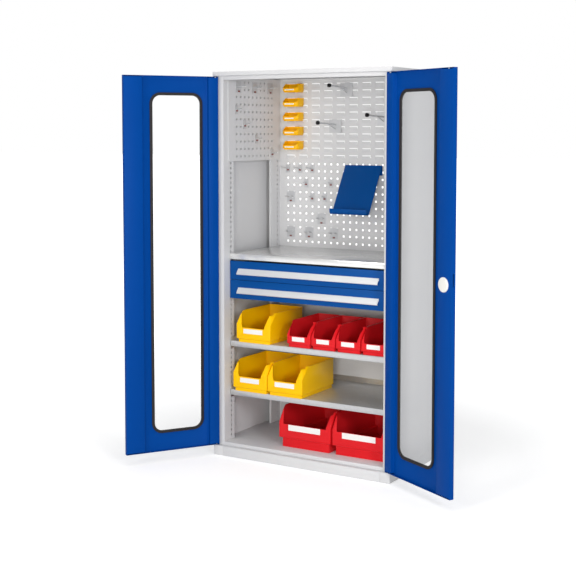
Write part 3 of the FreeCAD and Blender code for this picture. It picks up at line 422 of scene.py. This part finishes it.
blue_coat = powder_coat("blue_powder_coat", "#004496", "#00408F", 0.45, 0.05)
for side in ("left", "right"):
    skin = rounded_copy(side + "_door_leaf", side + "_door_skin", 0.0005, material=blue_coat)
    hand_over(skin, side + "_door", "blue_powder_coat", side + "_door_skin")
    channels = rounded_copy(side + "_door_channels", side + "_door_stiffeners", 0.0005, material=blue_coat)
    hand_over(channels, side + "_door", "blue_powder_coat", side + "_door_stiffeners")


# Window seals: black EPDM rubber, extruded with a lip over the sheet and a lip over the pane.
# The rubber is matt with a faint brown bloom.

rubber = clouded("epdm_rubber", ("#080506", "#140A0D"), (0.62, 0.78), 40, 4.0, {"IOR": 1.52})
for side in ("left", "right"):
    seal = rounded_copy(side + "_window_seal", side + "_door_seal", 0.0009, 3, material=rubber)
    hand_over(seal, side + "_door", "black_rubber", side + "_door_seal")


# Panes: 3 mm cast acrylic sheet, clear and polished. It hides almost nothing of what is behind
# it and shows soft reflections.

haze_mm = 180
acrylic, tree = new_material("clear_cast_acrylic")
place = add_node(tree, "ShaderNodeTexCoord").outputs["Object"]
haze = add_node(tree, "ShaderNodeTexNoise", {"Vector": place, "Scale": 1000 / haze_mm, "Detail": 2.0})
haze_gloss = add_node(tree, "ShaderNodeMapRange", {
    "Value": haze.outputs["Fac"], "To Min": 0.02, "To Max": 0.05})
shader = add_node(tree, "ShaderNodeBsdfPrincipled", {
    "Base Color": linear("#F4F6F7"), "Roughness": haze_gloss.outputs[0], "IOR": 1.49, "Alpha": 0.07})
add_node(tree, "ShaderNodeOutputMaterial", {"Surface": shader.outputs[0]})
repaint(acrylic, "left_door_pane", "right_door_pane")


# Lock: a dark blue turning knob outside and a white cap over the mechanism inside, both
# injection moulded from nylon with a fine satin surface.

def moulded_plastic(name, colour, shade, roughness, grain_mm, glow=0.0):
    """Injection moulded plastic: an even colour with slight flow marks and a fine mould grain.
    The real grain is about 0.3 mm and is drawn coarser so that it shows. The glow is light that
    scatters under the surface, which brightens thin walls."""
    flow_mm = 90
    material, tree = new_material(name)
    place = add_node(tree, "ShaderNodeTexCoord").outputs["Object"]
    flow = add_node(tree, "ShaderNodeTexNoise", {"Vector": place, "Scale": 1000 / flow_mm, "Detail": 2.0})
    colour_mix = add_node(tree, "ShaderNodeMix", {
        "Factor": flow.outputs["Fac"], 6: linear(colour), 7: linear(shade)}, data_type="RGBA")
    grain = add_node(tree, "ShaderNodeTexNoise", {"Vector": place, "Scale": 1000 / grain_mm, "Detail": 1.0})
    gloss = add_node(tree, "ShaderNodeMapRange", {
        "Value": grain.outputs["Fac"], "To Min": roughness - 0.05, "To Max": roughness + 0.06})
    bump = add_node(tree, "ShaderNodeBump", {
        "Height": grain.outputs["Fac"], "Strength": 0.05, "Distance": 0.0003})
    shader = add_node(tree, "ShaderNodeBsdfPrincipled", {
        "Base Color": colour_mix.outputs[2], "Roughness": gloss.outputs[0], "Normal": bump.outputs[0],
        "IOR": 1.5, "Specular IOR Level": 0.2})
    if glow:
        shader.inputs["Subsurface Weight"].default_value = glow
        shader.inputs["Subsurface Radius"].default_value = (1.0, 0.6, 0.3)
        shader.inputs["Subsurface Scale"].default_value = 0.002
    add_node(tree, "ShaderNodeOutputMaterial", {"Surface": shader.outputs[0]})
    return material


blue_nylon = moulded_plastic("dark_blue_nylon", "#123069", "#0F2A5E", 0.4, 1.2)
white_nylon = moulded_plastic("white_nylon", "#ECEBE5", "#E7E6E0", 0.34, 1.2)
hand_over(rounded_copy("lock_turning_knob", "lock_knob", 0.0016, 3, material=blue_nylon), "lock_knob",
          "dark_blue_plastic", "lock_knob")
hand_over(rounded_copy("lock_cap", "lock_cover", 0.0012, 3, 15, material=white_nylon), "right_door",
          "white_plastic", "lock_cover")


# Drawers: two folded steel trays on telescopic slides. Their fronts are blue, and each has a
# pull rail over nearly its whole width, extruded in aluminium and anodised natural.

blue_inner = powder_coat("blue_powder_coat_drawer", "#004A92", "#00468B", 0.42, 0.12)
grey_tray = powder_coat("grey_powder_coat_tray", "#B9BBBD", "#B3B5B8", 0.45, 0.3)

# Anodised aluminium: pale and satin, with brush lines along the rail that stretch highlights.
brush_stretch = (1.5, 600.0, 600.0)
anodised, tree = new_material("natural_anodised_aluminium")
place = add_node(tree, "ShaderNodeTexCoord").outputs["Object"]
along = add_node(tree, "ShaderNodeMapping", {"Vector": place, "Scale": brush_stretch})
brushing = add_node(tree, "ShaderNodeTexNoise", {"Vector": along.outputs[0], "Scale": 1.0, "Detail": 3.0})
anodised_mix = add_node(tree, "ShaderNodeMix", {
    "Factor": brushing.outputs["Fac"], 6: linear("#DFE0E0"), 7: linear("#E6E7E7")}, data_type="RGBA")
anodised_gloss = add_node(tree, "ShaderNodeMapRange", {
    "Value": brushing.outputs["Fac"], "To Min": 0.42, "To Max": 0.52})
shader = add_node(tree, "ShaderNodeBsdfPrincipled", {
    "Base Color": anodised_mix.outputs[2], "Roughness": anodised_gloss.outputs[0], "Metallic": 0.35})
add_node(tree, "ShaderNodeOutputMaterial", {"Surface": shader.outputs[0]})
for level in ("upper", "lower"):
    body = level + "_drawer"
    hand_over(rounded_copy(body + "_tray", body + "_box", 0, material=grey_tray), body,
              "grey_powder_coat_drawer", body + "_box")
    hand_over(rounded_copy(body + "_plate", body + "_front", 0.0005, material=blue_inner), body,
              "blue_powder_coat_inner", body + "_front")
    hand_over(rounded_copy(body + "_pull", body + "_grip", 0.0006, material=anodised), body,
              "anodised_aluminium", body + "_grip")


# Storage bins: injection moulded polypropylene, open at the front above a low wall, with a rim
# round the top, a foot that sits in the rim of the bin below, and a field for a label card.

yellow_pp = moulded_plastic("yellow_polypropylene", "#FFC800", "#FBC000", 0.34, 1.5, 0.12)
# The hung bins are the same yellow plastic as the large bins. This copy is tinted more orange and scatters
# more light under its surface, as painted warm light bounced onto them.
hung_yellow_pp_painted_warm_light = moulded_plastic("yellow_polypropylene_painted_warm_light", "#FFC000", "#FBB800", 0.34, 1.5, 0.34)
red_pp = moulded_plastic("red_polypropylene", "#DE1F26", "#D81A22", 0.34, 1.5, 0.10)
card = moulded_plastic("white_label_card", "#EEEDEA", "#E8E7E4", 0.6, 2.0)


def loft(rings):
    """A closed solid through a stack of rings that have as many corners each."""
    points = [point for ring in rings for point in ring]
    count = len(rings[0])
    faces = [tuple(range(count - 1, -1, -1)), tuple(range(len(points) - count, len(points)))]
    for level in range(len(rings) - 1):
        low = level * count
        high = low + count
        faces += [(low + i, low + (i + 1) % count, high + (i + 1) % count, high + i) for i in range(count)]
    mesh = bpy.data.meshes.new("solid")
    mesh.from_pydata(points, [], faces)
    return mesh


def combined(first, second, operation):
    """The mesh of one solid with another one cut from it or joined to it."""
    worked = bpy.data.objects.new("worked", first)
    tool = bpy.data.objects.new("tool", second)
    bpy.context.collection.objects.link(worked)
    bpy.context.collection.objects.link(tool)
    step = worked.modifiers.new("step", "BOOLEAN")
    step.operation = operation
    step.object = tool
    step.solver = "EXACT"
    bpy.context.view_layer.update()
    mesh = bpy.data.meshes.new_from_object(worked.evaluated_get(bpy.context.evaluated_depsgraph_get()))
    bpy.data.objects.remove(worked)
    bpy.data.objects.remove(tool)
    return mesh


def bin_rings(form, wall):
    """The rings of a bin's outside, or of its hollow when a wall is given: straight up to the
    shoulder, then leaning back and inwards to the cheeks, then rising to the rim."""
    rim_overhang, rim_height, rim_step, least_rise = 0.002, 0.007, 0.0006, 0.0012
    foot_step, hollow_overshoot, least_corner = 0.005, 0.004, 0.0008
    taper_reach = 2.5
    half = form["width"] / 2 - wall
    waist = half - rim_overhang
    top = form["height"]
    cheek = form["cheek"]
    inset = form["inset"]
    slope = (form["run"] - form["lean"]) / (top - cheek)
    levels = [(wall, inset, 0, waist - inset), (form["base"], inset, 0, waist - inset),
              (form["base"] + foot_step, 0, 0, waist), (form["shoulder"], 0, 0, waist),
              (cheek, form["lean"], form["taper"], waist)]
    if wall:
        levels.append((top + hollow_overshoot, form["run"], form["taper"], waist))
    else:
        rim = max(top - rim_height, cheek + least_rise)
        for height, side in ((rim - rim_step, waist), (rim, half), (top, half)):
            levels.append((height, form["lean"] + slope * (height - cheek), form["taper"], side))
    rings = []
    rear = form["length"] - wall
    corner = max(form["corner"] - wall, least_corner)
    for height, front, taper, side in levels:
        near = side - taper - corner
        y = front + wall
        back = y + corner + taper * taper_reach
        rings.append([(-near, y, height), (near, y, height), (side, back, height), (side, rear, height),
                      (-side, rear, height), (-side, back, height)])
    return rings


def rectangle(half, low, high):
    """The corners of an upright rectangle with its middle at x = 0."""
    return [(-half, low), (half, low), (half, high), (-half, high)]


def block_mesh(outline, front, rear):
    """The solid that an outline of x and z corners sweeps from a front y to a rear y."""
    mesh = bpy.data.meshes.new("solid")
    mesh.from_pydata([(x, y, z) for y in (front, rear) for x, z in outline], [], [])
    count = len(outline)
    shape = bmesh.new()
    shape.from_mesh(mesh)
    shape.verts.ensure_lookup_table()
    shape.faces.new([shape.verts[i] for i in range(count)])
    shape.faces.new([shape.verts[i] for i in range(2 * count - 1, count - 1, -1)])
    for i in range(count):
        j = (i + 1) % count
        shape.faces.new([shape.verts[i], shape.verts[i + count], shape.verts[j + count], shape.verts[j]])
    bmesh.ops.recalc_face_normals(shape, faces=shape.faces)
    shape.to_mesh(mesh)
    shape.free()
    return mesh


# The field stands this far proud of a bin's front and sinks this far into it.
field_proud, field_sunk = 0.0015, 0.001


def bin_mesh(form):
    """One bin, its front at y = 0 and its middle at x = 0: the walls, the notched front, the
    field for a card and small radii on all its edges."""
    wall, rim_margin, cheek_rise = 0.0025, 0.0075, 0.002
    cutter_margin, run_margin = 0.01, 0.004
    shell = combined(loft(bin_rings(form, 0)), loft(bin_rings(form, wall)), "DIFFERENCE")
    top = form["height"] + cutter_margin
    foot = form["notch"] / 2
    shoulder = foot + form["flare"]
    wide = form["width"] / 2 - rim_margin
    cheek = form["cheek"]
    notch = [(-foot, form["edge"]), (foot, form["edge"]), (shoulder, cheek), (wide, cheek + cheek_rise),
             (wide, top), (-wide, top), (-wide, cheek + cheek_rise), (-shoulder, cheek)]
    shell = combined(shell, block_mesh(notch, -cutter_margin, form["run"] + run_margin), "DIFFERENCE")
    width, low, height = form["field"]
    field = rectangle(width / 2, low, low + height)
    shell = combined(shell, block_mesh(field, -field_proud, field_sunk), "UNION")
    shape = bmesh.new()
    shape.from_mesh(shell)
    soften(shape, form["radius"], 2, 20)
    shape.to_mesh(shell)
    shape.free()
    return shell


def label_card(name, body, form, place):
    """A blank card in a bin's label field, a little smaller than the field."""
    margin = 0.0015
    card_front, card_rear = -0.0019, -0.0013
    width, low, height = form["field"]
    outline = rectangle(width / 2 - margin, low + margin, low + height - margin)
    mesh = block_mesh(outline, card_front, card_rear)
    mesh.transform(Matrix.Translation(place))
    hand_over(finished(name + "_card", mesh, card), body, "white_plastic")


# Sizes in metres. The foot stands in by inset up to base. The front is straight up to shoulder and
# has leaned back by lean at cheek and by run at the rim. From cheek up it is narrower by taper on
# each side. Its notch is as wide as notch at edge and wider by flare on each side at cheek. The
# field is the card field's width, foot and height. The front corners are cut by corner, and all
# edges have the radius.
large_form = {
    "width": 0.206, "length": 0.320, "height": 0.155, "inset": 0.008, "base": 0.016, "shoulder": 0.094,
    "cheek": 0.144, "lean": 0.0235, "taper": 0.0100, "run": 0.044, "corner": 0.003, "edge": 0.077,
    "notch": 0.130, "flare": 0.018, "field": (0.116, 0.046, 0.027), "radius": 0.0009}
medium_form = {
    "width": 0.137, "length": 0.320, "height": 0.126, "inset": 0.006, "base": 0.014, "shoulder": 0.064,
    "cheek": 0.112, "lean": 0.0280, "taper": 0.0080, "run": 0.042, "corner": 0.003, "edge": 0.056,
    "notch": 0.100, "flare": 0.010, "field": (0.074, 0.029, 0.025), "radius": 0.0008}
wide_form = {
    "width": 0.300, "length": 0.4697, "height": 0.200, "inset": 0.013, "base": 0.044, "shoulder": 0.126,
    "cheek": 0.186, "lean": 0.0290, "taper": 0.0055, "run": 0.050, "corner": 0.003, "edge": 0.118,
    "notch": 0.242, "flare": 0.014, "field": (0.186, 0.087, 0.032), "radius": 0.0010}
hung_form = {
    "width": 0.099, "length": 0.070, "height": 0.046, "inset": 0.004, "base": 0.004, "shoulder": 0.026,
    "cheek": 0.042, "lean": 0.0100, "taper": 0.0050, "run": 0.016, "corner": 0.011, "edge": 0.024,
    "notch": 0.076, "flare": 0.008, "field": (0.060, 0.0095, 0.009), "radius": 0.0011}

# A hung bin also has a thin ledge behind its rim.
ledge_half, ledge_foot, ledge_top = 0.047, 0.044, 0.046
ledge_front, ledge_rear = 0.069, 0.0755
for family, count, form, plastic, finish in (("large_bin", 3, large_form, yellow_pp, "yellow_plastic"),
                                             ("medium_bin", 4, medium_form, red_pp, "red_plastic"),
                                             ("wide_bin", 2, wide_form, red_pp, "red_plastic"),
                                             ("hung_bin", 5, hung_form, hung_yellow_pp_painted_warm_light, "yellow_plastic")):
    pattern = bin_mesh(form)
    for number in range(1, count + 1):
        name = f"{family}_{number}"
        low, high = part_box(name)
        place = Vector(((low[0] + high[0]) / 2, low[1] + field_proud, high[2] - form["height"]))
        mesh = pattern.copy()
        if form is hung_form:
            body = "cabinet"
            ledge = rectangle(ledge_half, ledge_foot, ledge_top)
            mesh = combined(mesh, block_mesh(ledge, ledge_front, ledge_rear), "UNION")
        else:
            body = name
        mesh.transform(Matrix.Translation(place))
        hand_over(finished(name + "_moulding", mesh, plastic), body, finish, name)
        label_card(name, body, form, place)


# Document stand: one bent sheet hung by its rear flange on the perforated wall, with a rounded
# trough at the foot of its slope, in the blue of the drawers.

hand_over(rounded_copy("document_rest", "document_stand", 0.0006, material=blue_inner), "cabinet",
          "blue_powder_coat_inner", "document_stand")


# Tool hooks and arms: stamped plates with welded wire prongs, zinc plated, with brown clips and
# black push-on balls.

brown_plastic = moulded_plastic("brown_clip_plastic", "#8A4A44", "#7C403B", 0.5, 1.0)
black_plastic = moulded_plastic("black_ball_plastic", "#141416", "#0F0F11", 0.45, 1.0)
# Passivated zinc: paler and duller than the bright plate, close to the wall in tone.
pale_zinc = clouded("satin_zinc_plate", ("#C2C3C5", "#CDCED0"), (0.42, 0.55), 30, 3.0, {"Metallic": 0.45})
repaint(pale_zinc, "panel_hooks", "tool_arms")
repaint(brown_plastic, "hook_clips")
hand_over(rounded_copy("arm_balls", "arm_tips", 0.0015, 3, 15, material=black_plastic), "cabinet",
          "black_plastic", "arm_tips")
